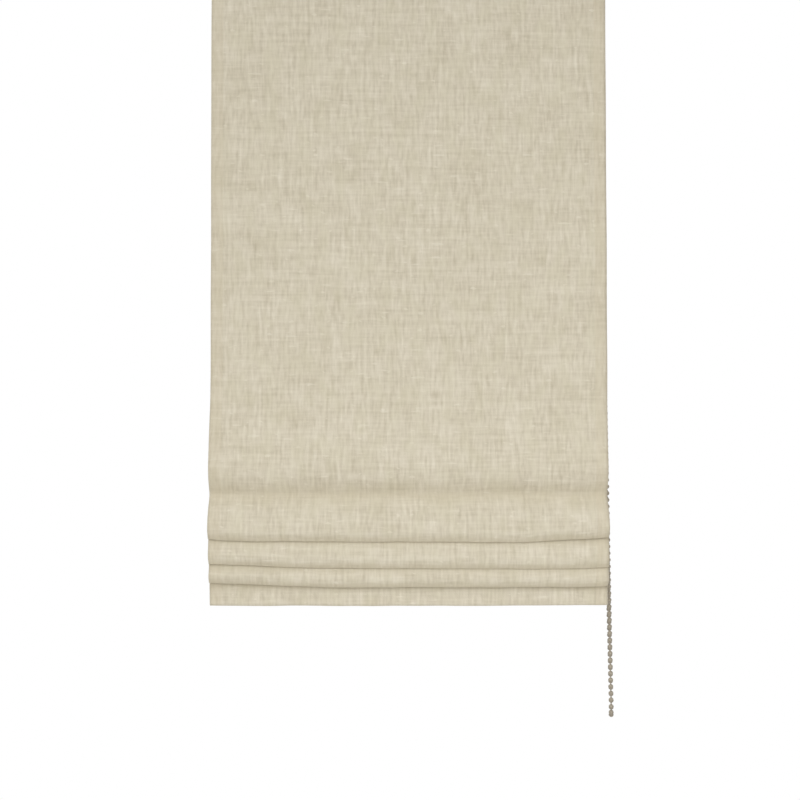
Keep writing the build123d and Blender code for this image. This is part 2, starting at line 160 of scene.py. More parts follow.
linen = {
    "ramp": [(0.2, (0.5, 0.44, 0.325, 1)), (0.5, (0.625, 0.564, 0.445, 1)),
             (0.8, (0.73, 0.672, 0.553, 1))],  # from the dark threads to the light ones
    # streaks and spots: how many to a metre across and along the cloth
    "warp": ((0.55, (400, 84, 1)), (0.45, (300, 26, 1))),  # short and long streaks, each with its share
    "weft": ((0.5, (56, 430, 1)), (0.5, (10, 240, 1))),
    "yarn": (1400, 60, 1), "pick": (60, 1400, 1), "cloud": (26, 34, 1),
    "tones": {"warp": 1.12, "weft": 0.66, "yarn": 0.1, "pick": 0.08, "cloud": 0.3},
    "knot": (150, 270, 1), "knotFrom": (0.73, 0.83),
    "thick": (62, 330, 1), "thickFrom": (0.73, 0.84),
    "tint": (70, 38, 1), "tintFrom": (0.4, 0.7),
    "slub": (0.8, 0.745, 0.63, 1), "slubShare": 0.35,
    "straw": (0.6, 0.552, 0.4, 1), "strawShare": 0.3,
    "paintedShadeColour": (0.52, 0.455, 0.32, 1), "paintedShadeShare": 0.42,  # painted shade in the valley and round the folds' lower edges
    # the hem colour is painted shade: the side hems' double cloth lets less light through
    "hem": (0.6, 0.525, 0.385, 1), "hemShadeShare": 0.3, "hemWidth": 0.011, "hemStep": 0.0008,
    "yarnPitch": 0.00072,  # yarn to yarn
    "heights": {"crossing": 0.5, "warp": 0.8, "weft": 0.8, "slub": 1.2, "hem": 1.5},
    "rough": 0.86, "roughSwing": 0.1, "bump": 0.35, "bumpDepth": 0.00025,
    "fixed": {"Sheen Weight": 0.15, "Sheen Roughness": 0.5, "Specular IOR Level": 0.2},
}


def streaks(wire, place, rows):
    (share, scale), (otherShare, otherScale) = rows
    return share * grain(wire, place, scale) + otherShare * grain(wire, place, otherScale)


def spots(wire, place, scale, limits):
    return step(wire, grain(wire, place, scale, detail=0), *limits)


def linenFinish():
    material, wire = startFinish("naturalLinen")
    place = wire.node("ShaderNodeUVMap", {"uv_map": "weave"})
    across = wire.node("ShaderNodeSeparateXYZ", {}, {"Vector": place})
    along = wire.node("ShaderNodeSeparateXYZ", {}, {"Vector": place}, out=1)
    patterns = {
        "warp": streaks(wire, place, linen["warp"]),
        "weft": streaks(wire, place, linen["weft"]),
        "yarn": grain(wire, place, linen["yarn"], detail=1),
        "pick": grain(wire, place, linen["pick"], detail=1),
        "cloud": grain(wire, place, linen["cloud"], detail=3),
    }
    tone = 0.5
    for name, share in linen["tones"].items():
        tone = tone + swing(patterns[name], share)
    colour = ramp(wire, tone, linen["ramp"])

    knot = spots(wire, place, linen["knot"], linen["knotFrom"])
    thick = spots(wire, place, linen["thick"], linen["thickFrom"])
    slub = wire.maths("MAXIMUM", knot, thick)
    colour = mixColours(wire, linen["slubShare"] * slub, colour, linen["slub"])
    tint = step(wire, grain(wire, place, linen["tint"]), *linen["tintFrom"])
    colour = mixColours(wire, linen["strawShare"] * tint, colour, linen["straw"])
    # painted shade: the cloth's colour is darkened in the valley and round each fold's lower edge
    unfaded = wire.node("ShaderNodeAttribute", {"attribute_name": "unfaded"}, out=2)
    colour = mixColours(wire, linen["paintedShadeShare"] * unfaded, colour, linen["paintedShadeColour"])
    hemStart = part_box("face_cloth")[1].x - linen["hemWidth"]
    hem = step(wire, wire.maths("ABSOLUTE", across), hemStart, hemStart + linen["hemStep"])
    # painted shade: the side hems are darkened for their double cloth, which lets less light through
    colour = mixColours(wire, linen["hemShadeShare"] * hem, colour, linen["hem"])

    turn = math.pi / linen["yarnPitch"]
    crossing = wire.maths("SINE", across * turn) * wire.maths("SINE", along * turn)
    patterns.update({"crossing": crossing, "slub": slub, "hem": hem})
    bump = bumpFrom(wire, weigh(patterns, linen["heights"]), linen)
    roughness = linen["rough"] + swing(patterns["warp"], linen["roughSwing"])
    closeFinish(wire, colour, roughness, bump, linen["fixed"])
    return material


tapeWeave = {
    "colour": (0.7, 0.665, 0.585, 1), "shade": (0.6, 0.565, 0.485, 1),
    "weave": (900, 900, 900), "cloud": (40, 40, 40), "weaveShare": 0.5,
    "ribPitch": 0.0009, "fuzzHeight": 3,  # ribs of a smooth tape, pile of a rough one
    "rough": 0.9, "roughSwing": 0.08, "bump": 0.5, "bumpDepth": 0.0002,
    "fixed": {"Sheen Weight": 0.2, "Sheen Roughness": 0.5, "Specular IOR Level": 0.2},
}


def tapeFinish(name, fuzz):
    material, wire = startFinish(name)
    place = objectPlace(wire)
    weave = grain(wire, place, tapeWeave["weave"])
    cloud = grain(wire, place, tapeWeave["cloud"])
    share = tapeWeave["weaveShare"]
    tone = share * weave + (1 - share) * cloud
    colour = mixColours(wire, tone, tapeWeave["shade"], tapeWeave["colour"])
    across = wire.node("ShaderNodeSeparateXYZ", {}, {"Vector": place})
    ribs = wire.maths("SINE", across * (2 * math.pi / tapeWeave["ribPitch"]))
    height = (1 - fuzz) * ribs + tapeWeave["fuzzHeight"] * fuzz * weave
    roughness = tapeWeave["rough"] + swing(weave, tapeWeave["roughSwing"])
    closeFinish(wire, colour, roughness, bumpFrom(wire, height, tapeWeave), tapeWeave["fixed"])
    return material


cordBraid = {
    "colour": (0.8, 0.78, 0.71, 1), "shade": (0.62, 0.59, 0.52, 1),
    "strands": {"Scale": 380.0, "Distortion": 1.5, "Detail": 1.0},
    "rough": 0.75, "roughSwing": 0.1, "bump": 0.5, "bumpDepth": 0.0002,
    "fixed": {"Sheen Weight": 0.1},
}


def cordFinish():
    material, wire = startFinish("braidedCord")
    bands = {"wave_type": "BANDS", "bands_direction": "DIAGONAL"}
    strand = wire.node("ShaderNodeTexWave", bands, {"Vector": objectPlace(wire), **cordBraid["strands"]})
    colour = mixColours(wire, strand, cordBraid["shade"], cordBraid["colour"])
    roughness = cordBraid["rough"] + swing(strand, cordBraid["roughSwing"])
    closeFinish(wire, colour, roughness, bumpFrom(wire, strand, cordBraid), cordBraid["fixed"])
    return material


mouldedPlastic = {
    "mottle": (60, 60, 60), "spark": (2600, 2600, 2600),
    "mottleSwing": 0.16, "sparkSwing": 0.1, "bump": 0.2, "bumpDepth": 0.00005,
}


def plasticFinish(name, colour, shade, rough, fixed=None):
    material, wire = startFinish(name)
    place = objectPlace(wire)
    mottle = grain(wire, place, mouldedPlastic["mottle"], detail=3)
    spark = grain(wire, place, mouldedPlastic["spark"])
    tinted = mixColours(wire, mottle, shade, colour)
    roughness = rough + swing(mottle, mouldedPlastic["mottleSwing"])
    roughness = roughness + swing(spark, mouldedPlastic["sparkSwing"])
    closeFinish(wire, tinted, roughness, bumpFrom(wire, spark, mouldedPlastic), fixed)
    return material


railPaint = {
    "colour": (0.84, 0.84, 0.82, 1), "shade": (0.76, 0.76, 0.735, 1),
    "peel": (420, 420, 420), "dust": (14, 50, 50),
    "rough": 0.4, "peelSwing": 0.12, "dustSwing": 0.15, "bump": 0.15, "bumpDepth": 0.00008,
    "fixed": {"Coat Weight": 0.15, "Coat Roughness": 0.3},
}


def railFinish():
    material, wire = startFinish("paintedRail")
    place = objectPlace(wire)
    peel = grain(wire, place, railPaint["peel"])
    dust = grain(wire, place, railPaint["dust"], detail=3)
    colour = mixColours(wire, dust, railPaint["shade"], railPaint["colour"])
    roughness = railPaint["rough"] + swing(peel, railPaint["peelSwing"])
    roughness = roughness + swing(dust, railPaint["dustSwing"])
    closeFinish(wire, colour, roughness, bumpFrom(wire, peel, railPaint), railPaint["fixed"])
    return material


metalSurface = {
    "stain": (70, 70, 70), "brushShare": 0.6,
    "brushSwing": 0.25, "stainSwing": 0.15, "bump": 0.15, "bumpDepth": 0.00006,
    "fixed": {"Metallic": 1.0},
}


def metalFinish(name, colour, shade, lines, rough):
    material, wire = startFinish(name)
    place = objectPlace(wire)
    brush = grain(wire, place, lines, detail=3)
    stain = grain(wire, place, metalSurface["stain"], detail=3)
    share = metalSurface["brushShare"]
    tinted = mixColours(wire, share * brush + (1 - share) * stain, shade, colour)
    roughness = rough + swing(brush, metalSurface["brushSwing"])
    roughness = roughness + swing(stain, metalSurface["stainSwing"])
    closeFinish(wire, tinted, roughness, bumpFrom(wire, brush, metalSurface), metalSurface["fixed"])
    return material


glassFibre = {
    "colour": (0.82, 0.81, 0.76, 1), "shade": (0.68, 0.67, 0.6, 1), "fibres": (25, 2200, 2200),
    "rough": 0.38, "roughSwing": 0.15, "bump": 0.2, "bumpDepth": 0.00006,
}


def rodFinish():
    material, wire = startFinish("glassFibre")
    fibre = grain(wire, objectPlace(wire), glassFibre["fibres"])
    colour = mixColours(wire, fibre, glassFibre["shade"], glassFibre["colour"])
    roughness = glassFibre["rough"] + swing(fibre, glassFibre["roughSwing"])
    closeFinish(wire, colour, roughness, bumpFrom(wire, fibre, glassFibre))
    return material


finishes = {
    "linen": linenFinish(),
    "tape": tapeFinish("wovenTape", fuzz=0.15),
    "grip": tapeFinish("gripTape", fuzz=0.8),
    "cord": cordFinish(),
    "rail_white": railFinish(),
    "zinc": metalFinish(
        "zincPlate", colour=(0.66, 0.67, 0.68, 1), shade=(0.5, 0.51, 0.53, 1),
        lines=(140, 140, 140), rough=0.38),
    "bare_aluminium": metalFinish(
        "millAluminium", colour=(0.74, 0.74, 0.75, 1), shade=(0.6, 0.6, 0.62, 1),
        lines=(12, 900, 900), rough=0.36),
    "plastic_white": plasticFinish(
        "whitePlastic", colour=(0.83, 0.83, 0.81, 1), shade=(0.77, 0.77, 0.745, 1), rough=0.48),
    "plastic_grey": plasticFinish(
        "greyPlastic", colour=(0.47, 0.47, 0.46, 1), shade=(0.4, 0.4, 0.395, 1), rough=0.5),
    "clear_plastic": plasticFinish(
        "milkyPlastic", colour=(0.82, 0.81, 0.78, 1), shade=(0.72, 0.71, 0.68, 1), rough=0.3,
        fixed={"Subsurface Weight": 0.15, "Subsurface Radius": (0.002, 0.002, 0.002)}),
    "chain": plasticFinish(
        "taupeBeads", colour=(0.36, 0.315, 0.245, 1), shade=(0.3, 0.26, 0.2, 1), rough=0.42),
    "rod": rodFinish(),
    "thread": plasticFinish(
        "sewingThread", colour=(0.78, 0.755, 0.68, 1), shade=(0.68, 0.655, 0.58, 1), rough=0.7),
}
print("finishes made,", len(finishes))

for row in frame["record"]["subparts"]:
    carried = frame["nodes"][row["node"]].data
    carried.materials.clear()
    gripping = row["node"] in ("hook_tape", "loop_tape")
    carried.materials.append(finishes["grip" if gripping else row["material_slot"]])


# Helpers for the pieces

sameSpot = 1e-6  # points nearer than this are one


def makePiece(name, bm, *slots, sharp=40):
    mesh = bpy.data.meshes.new(name)
    bm.to_mesh(mesh)
    bm.free()
    for slot in slots:
        mesh.materials.append(finishes[slot])
    mesh.polygons.foreach_set("use_smooth", [True] * len(mesh.polygons))
    mesh.set_sharp_from_angle(angle=math.radians(sharp))
    piece = bpy.data.objects.new(name, mesh)
    bpy.context.scene.collection.objects.link(piece)
    return piece


def middle(node):
    low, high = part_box(node)
    return (low + high) / 2


def clamp(value):
    return max(0.0, min(1.0, value))


def sized(place, size):
    return Matrix.Translation(place) @ Matrix.Diagonal((*size, 1))


def edgesOf(verts):  # each edge once, always in the same order
    return list(dict.fromkeys(edge for vert in verts for edge in vert.link_edges))


def pullSideways(bm, drawn, length):  # moves the new end of an extrusion along X
    ends = [part for part in drawn if isinstance(part, bmesh.types.BMVert)]
    bmesh.ops.translate(bm, verts=ends, vec=(length, 0, 0))


def stamp(bm, shape, places):  # shape is a small bmesh, and each place a matrix
    pattern = bpy.data.meshes.new("pattern")
    shape.to_mesh(pattern)
    shape.free()
    for place in places:
        pattern.transform(place)
        bm.from_mesh(pattern)
        pattern.transform(place.inverted())
    bpy.data.meshes.remove(pattern)


stitchCut = {"sides": 6, "rings": 4}


def addStitches(bm, places, size):
    stitch = bmesh.new()
    bmesh.ops.create_uvsphere(stitch, u_segments=stitchCut["sides"], v_segments=stitchCut["rings"],
                              radius=0.5)
    for face in stitch.faces:
        face.material_index = 1
    stamp(bm, stitch, [sized(place, size) for place in places])


valleyZ = middle(f"rod_{valleyRod}").z


# Cloth

clothCut = {
    "thickness": 0.0008,
    "tapeGap": 0.0001,  # flat cloth to the rod tapes
    "valleyForward": 0.0113,  # valley's cloth in front of the cloth at the headrail
    "bowForward": 0.0075, "bowHeight": 0.018,  # cloth above the valley stands proud
    "valleySink": 0.0017,
    "foldDrops": (0.04, 0.064, 0.0805),  # valley rod to the lower edge of each fold
    "shoulderDrops": (0.018, 0.039, 0.063),
    "rolls": (0.0026, 0.0013, 0.0013),  # between a fold's two layers
    "bellies": (0.002, 0.003, 0.003), "bellyRises": (0.007, 0.0065, 0.006),  # swell above each lower edge
    "toe": 0.0003, "lip": 0.0004,  # lower edge of a fold
    "layerPitch": 0.0013, "layerLean": 0.0005, "rodFold": 0.002, "returnDrop": 0.012,
    "barGap": 0.0003, "hemLap": 0.006, "lapGap": 0.00015,
    "bendShare": 0.45, "largestBend": 0.07, "valleyBend": 0.006,
    "bendStep": 14, "fewestFacets": 3,  # degrees of turn in each facet of a bend
    "columns": 112, "rowStep": 0.0032,
    "paintedShadeReach": 0.0065,  # painted shade reaches this near to a fold's lower edge, above it and on the layer below
    "valleyShadeReach": 0.017, "valleyShadeShare": 0.75,  # the same in the valley, with its share
    "ends": (  # how far each lower edge lifts towards its ends, and over what width; the hem is last
        {"left": 0.0022, "leftReach": 0.05, "right": 0.0042, "rightReach": 0.075, "ripple": 0.0008},
        {"left": 0.0046, "leftReach": 0.16, "right": 0.0014, "rightReach": 0.05, "ripple": 0.0007},
        {"left": 0.0036, "leftReach": 0.13, "right": 0.0012, "rightReach": 0.03, "ripple": 0.0008},
        {"left": 0.0, "leftReach": 0.1, "right": 0.0006, "rightReach": 0.1, "ripple": 0.0005},
    ),
    "endPower": 1.6, "dipPower": 1.5,  # how sharply a lift starts, across and above the edge
    # rows of waves: how close across, how close along or from fold to fold, seed and share
    "rippleWaves": ((16, 7.3, 0.4, 1.0), (41, 3.1, 2.2, 0.5)),
    "billow": 0.0007, "billowWaves": ((7, 5, 1.7, 1.0), (15, 9, 5.2, 0.5)),  # of the flat panel
    "headEase": 0.08, "valleyEase": 0.05,  # billow starts and ends over these lengths
    "skew": 0.0007, "skewWaves": ((1, 11, 8.8, 1.0),), "skewLine": 0.3,  # layers shifted sideways
    "skewEase": 0.2,
}


def foldCorners(fold, valleyY, rodZ):
    cut = clothCut
    layersBehind = 2 * (foldCount - 1 - fold)
    rodY = valleyY - cut["rodFold"]
    rear = rodY - cut["layerLean"] - cut["layerPitch"] * layersBehind
    front = rear - cut["rolls"][fold]
    bottom = valleyZ - cut["foldDrops"][fold]
    return [
        (front, valleyZ - cut["shoulderDrops"][fold], None),
        (front - cut["bellies"][fold], bottom + cut["bellyRises"][fold], fold),
        (rear - cut["toe"], bottom, fold),
        (rear, bottom + cut["lip"], fold),
        (rear, rodZ - cut["returnDrop"], None),
        (rodY, rodZ, None),
        (valleyY, rodZ, None),
    ]


def hemCorners(valleyY, hemBottom):
    cut = clothCut
    barLow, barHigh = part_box("bottom_bar")
    pocket = barHigh.y - barLow.y + 2 * cut["barGap"] + cut["thickness"]
    pocketTop = hemBottom + barHigh.z - barLow.z + 2 * pocket
    return [
        (valleyY, hemBottom, foldCount),
        (valleyY + pocket, hemBottom, foldCount),
        (valleyY + pocket, pocketTop, None),
        (valleyY + cut["thickness"] + cut["lapGap"], pocketTop + cut["hemLap"], None),
    ]


def clothCorners():
    cut = clothCut
    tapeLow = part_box("loop_tape")[0]
    clothLow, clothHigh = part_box("face_cloth")
    headY = tapeLow.y - cut["thickness"] / 2
    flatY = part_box(f"rod_tape_{valleyRod - 1}")[0].y - cut["thickness"] / 2 - cut["tapeGap"]
    valleyY = headY - cut["valleyForward"]
    # each corner: y, z and the fold whose lower edge it belongs to, -1 at the valley
    corners = [
        (headY, clothHigh.z, None),
        (headY, tapeLow.z, None),
        (flatY, middle(f"rod_{valleyRod - 1}").z, None),
        (valleyY - cut["bowForward"], valleyZ + cut["bowHeight"], None),
        (valleyY + cut["valleySink"], valleyZ, -1),
    ]
    for fold in range(foldCount):
        corners += foldCorners(fold, valleyY, middle(f"rod_{valleyRod + 1 + fold}").z)
    return corners + hemCorners(valleyY, clothLow.z + cut["thickness"] / 2)


def drawSheet(bm, corners, dips, half):
    for y, z, fold in corners:
        vert = bm.verts.new((-half, y, z))
        if fold is not None and fold >= 0:
            vert[dips[fold]] = 1
    bm.verts.ensure_lookup_table()
    runs = [bm.edges.new(pair) for pair in zip(bm.verts[:-1], bm.verts[1:])]
    pullSideways(bm, bmesh.ops.extrude_edge_only(bm, edges=runs)["geom"], 2 * half)


def roundFolds(bm, corners):  # each fold line is rounded as far as its two runs allow
    cut = clothCut
    places = [Vector((0, y, z)) for y, z, fold in corners]
    lines = []
    for place in places[1:-1]:
        ends = [vert for vert in bm.verts if (Vector((0, *vert.co.yz)) - place).length < sameSpot]
        lines.append(bm.edges.get(ends))
    folds = [fold for y, z, fold in corners[1:-1]]
    for line, fold, before, corner, after in zip(lines, folds, places, places[1:], places[2:]):
        shorter = min((corner - before).length, (after - corner).length)
        turn = (corner - before).angle(after - corner)
        bend = cut["valleyBend"] if fold == -1 else cut["largestBend"]
        reach = min(cut["bendShare"] * shorter, bend * math.tan(turn / 2))
        facets = max(cut["fewestFacets"], round(math.degrees(turn) / cut["bendStep"]))
        bmesh.ops.bevel(bm, geom=[line], offset=reach, offset_type="OFFSET", affect="EDGES",
                        segments=facets, profile=0.5, material=-1)


def cutRows(bm):
    for edge in [edge for edge in bm.edges if edge.verts[0].co.x < 0 and edge.verts[1].co.x < 0]:
        cuts = int(edge.calc_length() / clothCut["rowStep"])
        if cuts:
            ends = set(edge.verts)
            sides = edge.link_faces[0].edges
            pair = [other for other in sides if other == edge or not ends & set(other.verts)]
            bmesh.ops.subdivide_edges(bm, edges=pair, cuts=cuts, use_grid_fill=True)


def measureCloth(bm, along, start):  # gives each row its length of cloth from the top
    vert = min((vert for vert in bm.verts if vert.co.x < 0), key=lambda vert: (vert.co - start).length)
    last = None
    run = 0.0
    while vert is not None:
        others = [edge.other_vert(vert) for edge in vert.link_edges]
        opposite = next(other for other in others if other.co.x > 0)
        vert[along] = run
        opposite[along] = run
        ahead = [other for other in others if other.co.x < 0 and other is not last]
        last, vert = vert, ahead[0] if ahead else None
        if vert is not None:
            run += (vert.co - last.co).length


def cutColumns(bm, half):  # with a line on both sides of the hem's step
    bars = [edge for edge in bm.edges if edge.verts[0].co.x * edge.verts[1].co.x < 0]
    bmesh.ops.subdivide_edges(bm, edges=bars, cuts=clothCut["columns"], use_grid_fill=True)
    for side in (-1, 1):
        for inset in (linen["hemWidth"], linen["hemWidth"] - linen["hemStep"]):
            everything = bm.verts[:] + bm.edges[:] + bm.faces[:]
            bmesh.ops.bisect_plane(bm, geom=everything, dist=sameSpot,
                                   plane_co=(side * (half - inset), 0, 0), plane_no=(1, 0, 0))


def faceForward(bm):
    bmesh.ops.recalc_face_normals(bm, faces=bm.faces[:])
    highest = max(bm.faces, key=lambda face: face.calc_center_median().z)
    if highest.normal.y > 0:
        bmesh.ops.reverse_faces(bm, faces=bm.faces[:])


def mapWeave(bm, along):
    weave = bm.loops.layers.uv.new("weave")
    for face in bm.faces:
        for loop in face.loops:
            loop[weave].uv = (loop.vert.co.x, loop.vert[along])


# painted shade: a share that is 1 at the valley, at each fold's lower edge and on the layer just below it, and
# fades out over the reach
def paintFoldShade(bm, along, dips):
    unfaded = bm.verts.layers.float.new("unfaded")
    valley = min(bm.verts, key=lambda vert: abs(vert.co.z - valleyZ))[along]
    edges = []  # place along the cloth and height of each fold's lower edge
    for dip in dips[:foldCount]:
        lowest = min((vert for vert in bm.verts if vert[dip] > 0.5), key=lambda vert: vert.co.z)
        edges.append((lowest[along], lowest.co.z))
    reach = clothCut["paintedShadeReach"]
    for vert in bm.verts:
        place = vert[along]
        share = clothCut["valleyShadeShare"] * (1 - abs(place - valley) / clothCut["valleyShadeReach"])
        for fold, (edge, height) in enumerate(edges):
            share = max(share, 1 - abs(place - edge) / reach)
            if edge < place and (fold == foldCount - 1 or place < edges[fold + 1][0]):
                share = max(share, 1 - (height - vert.co.z) / reach)
        share = clamp(share)
        vert[unfaded] = share * share * (3 - 2 * share)


def waves(rows, across, along):
    return sum(share * noise.noise((across * acrossRate, along * alongRate, seed))
               for acrossRate, alongRate, seed, share in rows)


def endLift(fold, x, half):
    ends = clothCut["ends"][fold]
    power = clothCut["endPower"]
    left = max(0.0, 1 - (x + half) / ends["leftReach"]) ** power
    right = max(0.0, 1 - (half - x) / ends["rightReach"]) ** power
    ripple = waves(clothCut["rippleWaves"], x, fold)
    return ends["left"] * left + ends["right"] * right + ends["ripple"] * ripple


def shapeCloth(bm, along, dips, half):
    cut = clothCut
    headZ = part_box("loop_tape")[0].z
    for vert in bm.verts:
        x = vert.co.x
        z = vert.co.z
        flat = clamp((headZ - z) / cut["headEase"]) * clamp((z - valleyZ) / cut["valleyEase"])
        vert.co.y += cut["billow"] * flat * waves(cut["billowWaves"], x, vert[along])
        loose = clamp((headZ - z) / cut["skewEase"])
        vert.co.x += cut["skew"] * loose * waves(cut["skewWaves"], cut["skewLine"], vert[along])
        for fold, dip in enumerate(dips):
            vert.co.z += vert[dip] ** cut["dipPower"] * endLift(fold, x, half)


def makeCloth():
    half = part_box("face_cloth")[1].x
    corners = clothCorners()
    bm = bmesh.new()
    along = bm.verts.layers.float.new("along")
    dips = [bm.verts.layers.float.new(f"dip{fold}") for fold in range(foldCount + 1)]
    drawSheet(bm, corners, dips, half)
    roundFolds(bm, corners)
    cutRows(bm)
    measureCloth(bm, along, Vector((-half, *corners[0][:2])))
    cutColumns(bm, half)
    faceForward(bm)
    mapWeave(bm, along)
    bm.normal_update()
    paintFoldShade(bm, along, dips)
    shapeCloth(bm, along, dips, half)
    length = max(vert[along] for vert in bm.verts)
    piece = makePiece("linenCloth", bm, "linen", sharp=80)
    return piece, half, length


cloth, clothHalf, clothLength = makeCloth()
wall = cloth.modifiers.new("thickness", "SOLIDIFY")
wall.thickness = clothCut["thickness"]
wall.offset = 0
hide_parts("face_cloth")
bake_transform(cloth)
print("cloth made,", len(cloth.data.polygons), "faces,", round(clothLength, 4), "m long")

seamCut = {"stitch": (0.003, 0.0006, 0.0005), "pitch": 0.005, "inset": 0.012, "belowEdge": 0.0035}


def makeHemSeam():
    (pocketY, pocketZ), (edgeY, edgeZ) = [corner[:2] for corner in clothCorners()[-2:]]
    share = seamCut["belowEdge"] / (edgeZ - pocketZ)
    y = edgeY + (pocketY - edgeY) * share + clothCut["thickness"] / 2
    count = int(2 * (clothHalf - seamCut["inset"]) / seamCut["pitch"])
    rows = [(i - (count - 1) / 2) * seamCut["pitch"] for i in range(count)]
    bm = bmesh.new()
    addStitches(bm, [(x, y, edgeZ - seamCut["belowEdge"]) for x in rows], seamCut["stitch"])
    seam = makePiece("hemSeam", bm, "tape", "thread")
    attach(seam, "stack")


makeHemSeam()
print("hem sewn")


# Rod tapes, with the thread that holds them

tapeCut = {
    "wall": 0.00045, "fin": 0.0008, "edge": 0.00015, "sides": 28,
    "stitch": (0.0026, 0.0005, 0.0003), "stitchPitch": 0.0042,
}


def makeRodTape(number):
    node = f"rod_tape_{number}"
    low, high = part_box(node)
    axis = middle(f"rod_{number}")
    length = high.x - low.x
    radius = (high.z - low.z) / 2
    bm = bmesh.new()
    turned = Matrix.Translation((low.x, axis.y, axis.z)) @ Matrix.Rotation(math.pi / 2, 4, "Y")
    rims = []
    for size in (radius, radius - tapeCut["wall"]):
        rim = bmesh.ops.create_circle(bm, segments=tapeCut["sides"], radius=size, matrix=turned)["verts"]
        rims += edgesOf(rim)
    ring = bmesh.ops.bridge_loops(bm, edges=rims)["faces"]
    pullSideways(bm, bmesh.ops.extrude_face_region(bm, geom=ring)["geom"], length)

    finEnd = axis.y - radius + tapeCut["wall"]
    finY = (low.y + finEnd) / 2
    finPlace = sized((0, finY, axis.z), (length, finEnd - low.y, tapeCut["fin"]))
    fin = bmesh.ops.create_cube(bm, size=1, matrix=finPlace)["verts"]
    bmesh.ops.bevel(bm, geom=edgesOf(fin), offset=tapeCut["edge"], affect="EDGES", segments=2, profile=0.5,
                    material=-1)
    bmesh.ops.recalc_face_normals(bm, faces=bm.faces[:])
    count = int(length / tapeCut["stitchPitch"])
    rows = [low.x + (i + 0.5) * length / count for i in range(count)]
    places = [(x, finY, axis.z + side * tapeCut["fin"] / 2) for x in rows for side in (-1, 1)]
    addStitches(bm, places, tapeCut["stitch"])
    tape = makePiece(f"rodTape{number}", bm, "tape", "thread")
    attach(tape, bodyOf[node])
    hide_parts(node)


for number in range(1, rodCount + 1):
    makeRodTape(number)
print("rod tapes made")


# Cord rings, each clipped round a tape's sleeve

ringCut = {
    "bore": 0.0062, "wall": 0.0015, "height": 0.002, "hoopSides": 12, "hoopSteps": 32,
    "neck": 0.0032, "neckShare": 0.8,  # width, and share of the hoop's height
    "clipLength": 0.006, "clipWall": 0.0009, "clipSteps": 22, "gap": 0.00015, "edge": 0.00018,
    "mouth": 70,  # degrees of the clip left open for the tape
}


def addRing(bm, x, sleeve, sleeveRadius, eye):
    hoop = (ringCut["bore"] + ringCut["wall"]) / 2
    section = Matrix.Translation((x + hoop, eye.y, eye.z)) @ Matrix.Rotation(math.pi / 2, 4, "X")
    section @= Matrix.Diagonal((ringCut["wall"] / 2, ringCut["height"] / 2, 1, 1))
    rim = bmesh.ops.create_circle(bm, segments=ringCut["hoopSides"], radius=1, matrix=section)["verts"]
    bmesh.ops.spin(bm, geom=rim + edgesOf(rim), cent=(x, eye.y, eye.z), axis=(0, 0, 1), angle=2 * math.pi,
                   steps=ringCut["hoopSteps"], use_merge=True)

    clip = sleeveRadius + ringCut["gap"] + ringCut["clipWall"] / 2
    mouth = math.radians(ringCut["mouth"])
    start = Matrix.Translation((x, sleeve.y, sleeve.z)) @ Matrix.Rotation(math.pi + mouth / 2, 4, "X")
    start @= sized((0, clip, 0), (ringCut["clipLength"], ringCut["clipWall"], 1))
    face = bmesh.ops.create_grid(bm, x_segments=1, y_segments=1, size=0.5, matrix=start)["verts"]
    bmesh.ops.spin(bm, geom=face + edgesOf(face) + face[0].link_faces[:], cent=(x, sleeve.y, sleeve.z),
                   axis=(1, 0, 0), angle=2 * math.pi - mouth, steps=ringCut["clipSteps"], use_merge=False)

    nearY = sleeve.y + clip
    farY = eye.y - hoop
    neckLength = max(farY - nearY, 0) + ringCut["wall"]
    neck = (ringCut["neck"], neckLength, ringCut["height"] * ringCut["neckShare"])
    bmesh.ops.create_cube(bm, size=1, matrix=sized((x, (nearY + farY) / 2, eye.z), neck))


def makeRings(number):
    node = f"cord_rings_{number}"
    sleeve = middle(f"rod_{number}")
    tapeLow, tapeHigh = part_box(f"rod_tape_{number}")
    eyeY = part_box(node)[1].y - ringCut["bore"] / 2 - ringCut["wall"]
    bm = bmesh.new()
    for cord in ("lift_cord_left", "lift_cord_right"):
        addRing(bm, middle(cord).x, sleeve, (tapeHigh.z - tapeLow.z) / 2, Vector((0, eyeY, sleeve.z)))
    bmesh.ops.recalc_face_normals(bm, faces=bm.faces[:])
    rings = makePiece(f"cordRings{number}", bm, "clear_plastic", sharp=35)
    edges = rings.modifiers.new("edges", "BEVEL")
    edges.width = ringCut["edge"]
    edges.segments = 2
    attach(rings, bodyOf[node])
    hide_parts(node)


for number in range(1, rodCount + 1):
    makeRings(number)
print("cord rings made")


# Lift cords: turns on the drum, then down through the rings

cordCut = {
    "diameter": 0.0014, "gap": 0.00002, "smoothness": 3,
    "drumReach": 0.0066, "turns": 6, "turnPoints": 12, "turnSpread": 1.02,  # turns lie a little apart
}


def cordRoute(side):
    spool = middle(f"spool_{side}")
    ringY = middle(f"cord_stop_{side}").y
    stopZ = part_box(f"cord_stop_{side}")[1].z
    reach = cordCut["drumReach"]
    steps = cordCut["turns"] * cordCut["turnPoints"]
    points = []
    for i in range(steps + 1):
        angle = math.pi - 2 * math.pi * (steps - i) / cordCut["turnPoints"]
        turn = i / cordCut["turnPoints"] - cordCut["turns"] / 2
        x = spool.x + cordCut["diameter"] * turn * cordCut["turnSpread"]
        points.append((x, reach * math.cos(angle), spool.z + reach * math.sin(angle)))
    points.append((spool.x, (ringY - reach) / 2, (spool.z + valleyZ) / 2))
    points.append((spool.x, ringY, valleyZ))
    points.append((spool.x, ringY, stopZ))
    return points


